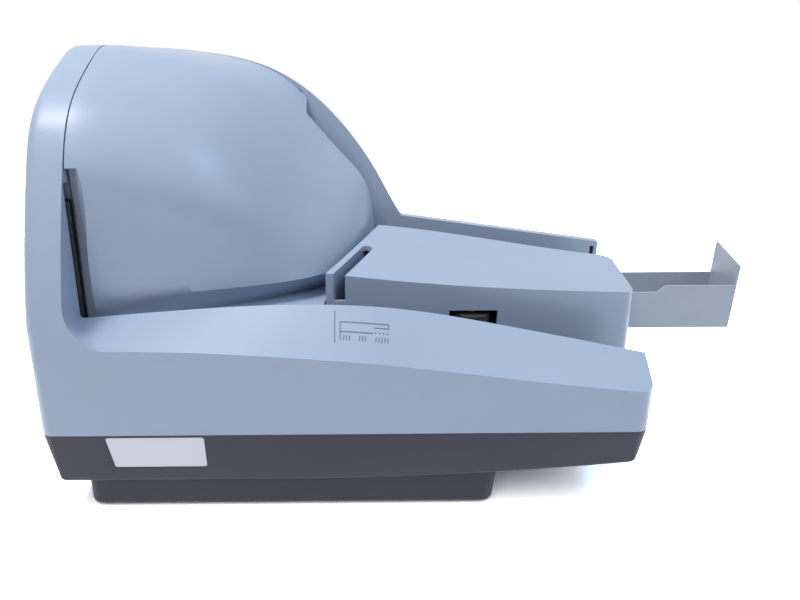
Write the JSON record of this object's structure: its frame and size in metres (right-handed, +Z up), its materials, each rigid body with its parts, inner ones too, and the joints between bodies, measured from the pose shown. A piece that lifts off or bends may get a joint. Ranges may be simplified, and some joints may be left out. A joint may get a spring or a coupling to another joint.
{
  "type": "document scanner",
  "caption": "Desk-top document scanner: domed casing round a U-shaped paper track, with an entry hopper, hinged island cover and a slide-out exit tray.",
  "frame": {"origin": "middle of the underside of the whole object, on the surface it stands on, exit tray pulled out", "axes": "+X along the machine to the exit tray, +Y to the back, +Z up"},
  "size_m": [0.336, 0.144, 0.191],
  "materials": {
    "casing": "fine moulded texture, satin matt",
    "housing": "fine moulded texture, matt",
    "guide_black": "matt black",
    "tray_grey": "satin",
    "rubber_black": "matt",
    "rubber_grey": "matt",
    "steel": "ground",
    "zinc_steel": "zinc plated",
    "bush_brass": "turned",
    "pulley_white": "moulded",
    "board_green": "solder mask",
    "chip_black": "moulded",
    "socket_black": "moulded",
    "label": "blank plate",
    "sensor_black": "moulded",
    "sensor_glass": "clear",
    "motor_can": "drawn can",
    "head_metal": "lapped",
    "felt_pad": "felt",
    "cartridge_black": "moulded"
  },
  "bodies": {
    "casing": {"bottom_cover": "housing", "lower_housing": "housing", "rubber_feet": "rubber_black", "bottom_screws": "steel", "deck_screws": "steel", "board_screws": "steel", "label_plate": "label", "main_board": "board_green", "board_chips": "chip_black", "power_socket": "socket_black", "data_socket": "socket_black", "track_base": "guide_black", "outer_cover": "casing", "deck_frame": "casing", "dome_cover": "casing", "hinge_pins": "steel", "outer_track_guide": "guide_black", "inner_track_guide": "guide_black", "inner_image_sensor": "sensor_black", "outer_image_sensor": "sensor_black", "inner_sensor_glass": "sensor_glass", "outer_sensor_glass": "sensor_glass", "shaft_bushes": "bush_brass", "drive_motor": "motor_can", "feed_motor": "motor_can", "drive_belt": "rubber_black", "feed_belt": "rubber_black", "feed_bridge": "zinc_steel", "roller_brackets": "zinc_steel", "roller_pins": "steel", "magnetic_head": "head_metal", "ink_magnet": "chip_black", "cartridge_holder": "guide_black", "print_cartridge": "cartridge_black", "pusher_pin": "steel"},
    "island_cover": {"island_cover": "casing"},
    "exit_tray": {"exit_tray": "tray_grey"},
    "document_pusher": {"document_pusher": "guide_black", "pusher_pad": "felt_pad"},
    "head_roller": {"head_roller": "rubber_grey"},
    "drive_spindle": {"drive_motor_spindle": "steel", "drive_motor_pulley": "pulley_white"},
    "feed_spindle": {"feed_motor_spindle": "steel", "feed_motor_pulley": "pulley_white"},
    "front_drive": {"front_drive_roller": "rubber_black", "front_drive_shaft": "steel", "front_drive_pulley": "pulley_white"},
    "left_drive": {"left_drive_roller": "rubber_black", "left_drive_shaft": "steel", "left_drive_pulley": "pulley_white"},
    "right_drive": {"right_drive_roller": "rubber_black", "right_drive_shaft": "steel", "right_drive_pulley": "pulley_white"},
    "feed": {"feed_roller": "rubber_black", "feed_shaft": "steel", "feed_pulley": "pulley_white"},
    "front_pinch": {"front_pinch_roller": "rubber_grey"},
    "left_pinch": {"left_pinch_roller": "rubber_grey"},
    "right_pinch": {"right_pinch_roller": "rubber_grey"}
  },
  "joints": [
    {"name": "island_cover_hinge", "type": "hinge", "parent": "casing", "child": "island_cover", "pos_m": [0.08286, -0.0235, 0.0525], "axis": [0.1376, 0.9905, 0], "range_deg": [0, 55]},
    {"name": "exit_tray_slide", "type": "slide", "parent": "casing", "child": "exit_tray", "axis": [1, 0, 0], "range_m": [-0.062, 0]},
    {"name": "pusher_swing", "type": "hinge", "parent": "casing", "child": "document_pusher", "pos_m": [0.056, -0.0482, 0.054], "axis": [0, 0, 1], "range_deg": [0, 21], "stiffness_Nm_per_rad": 0.02, "springref_deg": -11.46},
    {"name": "front_drive_spin", "type": "hinge", "parent": "casing", "child": "front_drive", "pos_m": [-0.106, -0.04025, 0.06], "axis": [0, 0, 1], "continuous": true},
    {"name": "left_drive_spin", "type": "hinge", "parent": "casing", "child": "left_drive", "pos_m": [-0.126, 0.04435, 0.06], "axis": [0, 0, 1], "continuous": true},
    {"name": "right_drive_spin", "type": "hinge", "parent": "casing", "child": "right_drive", "pos_m": [-0.074, 0.04435, 0.06], "axis": [0, 0, 1], "continuous": true},
    {"name": "feed_spin", "type": "hinge", "parent": "casing", "child": "feed", "pos_m": [0.016, -0.019, 0.06], "axis": [0, 0, 1], "continuous": true},
    {"name": "drive_spindle_spin", "type": "hinge", "parent": "casing", "child": "drive_spindle", "pos_m": [-0.1225, 0.002, 0.06], "axis": [0, 0, 1], "continuous": true},
    {"name": "feed_spindle_spin", "type": "hinge", "parent": "casing", "child": "feed_spindle", "pos_m": [0.041, 0, 0.06], "axis": [0, 0, 1], "continuous": true},
    {"name": "front_pinch_spin", "type": "hinge", "parent": "casing", "child": "front_pinch", "pos_m": [-0.106, -0.05475, 0.06], "axis": [0, 0, 1], "continuous": true},
    {"name": "left_pinch_spin", "type": "hinge", "parent": "casing", "child": "left_pinch", "pos_m": [-0.126, 0.05885, 0.06], "axis": [0, 0, 1], "continuous": true},
    {"name": "right_pinch_spin", "type": "hinge", "parent": "casing", "child": "right_pinch", "pos_m": [-0.074, 0.05885, 0.06], "axis": [0, 0, 1], "continuous": true},
    {"name": "head_roller_spin", "type": "hinge", "parent": "casing", "child": "head_roller", "pos_m": [-0.066, -0.04425, 0.06], "axis": [0, 0, 1], "continuous": true}
  ],
  "couplings": [
    {"joint": "left_drive_spin", "follows": "front_drive_spin", "ratio": 1},
    {"joint": "right_drive_spin", "follows": "front_drive_spin", "ratio": 1},
    {"joint": "drive_spindle_spin", "follows": "front_drive_spin", "ratio": 1.5},
    {"joint": "front_pinch_spin", "follows": "front_drive_spin", "ratio": -1.8},
    {"joint": "left_pinch_spin", "follows": "front_drive_spin", "ratio": -1.8},
    {"joint": "right_pinch_spin", "follows": "front_drive_spin", "ratio": -1.8},
    {"joint": "feed_spindle_spin", "follows": "feed_spin", "ratio": 1.5}
  ]
}
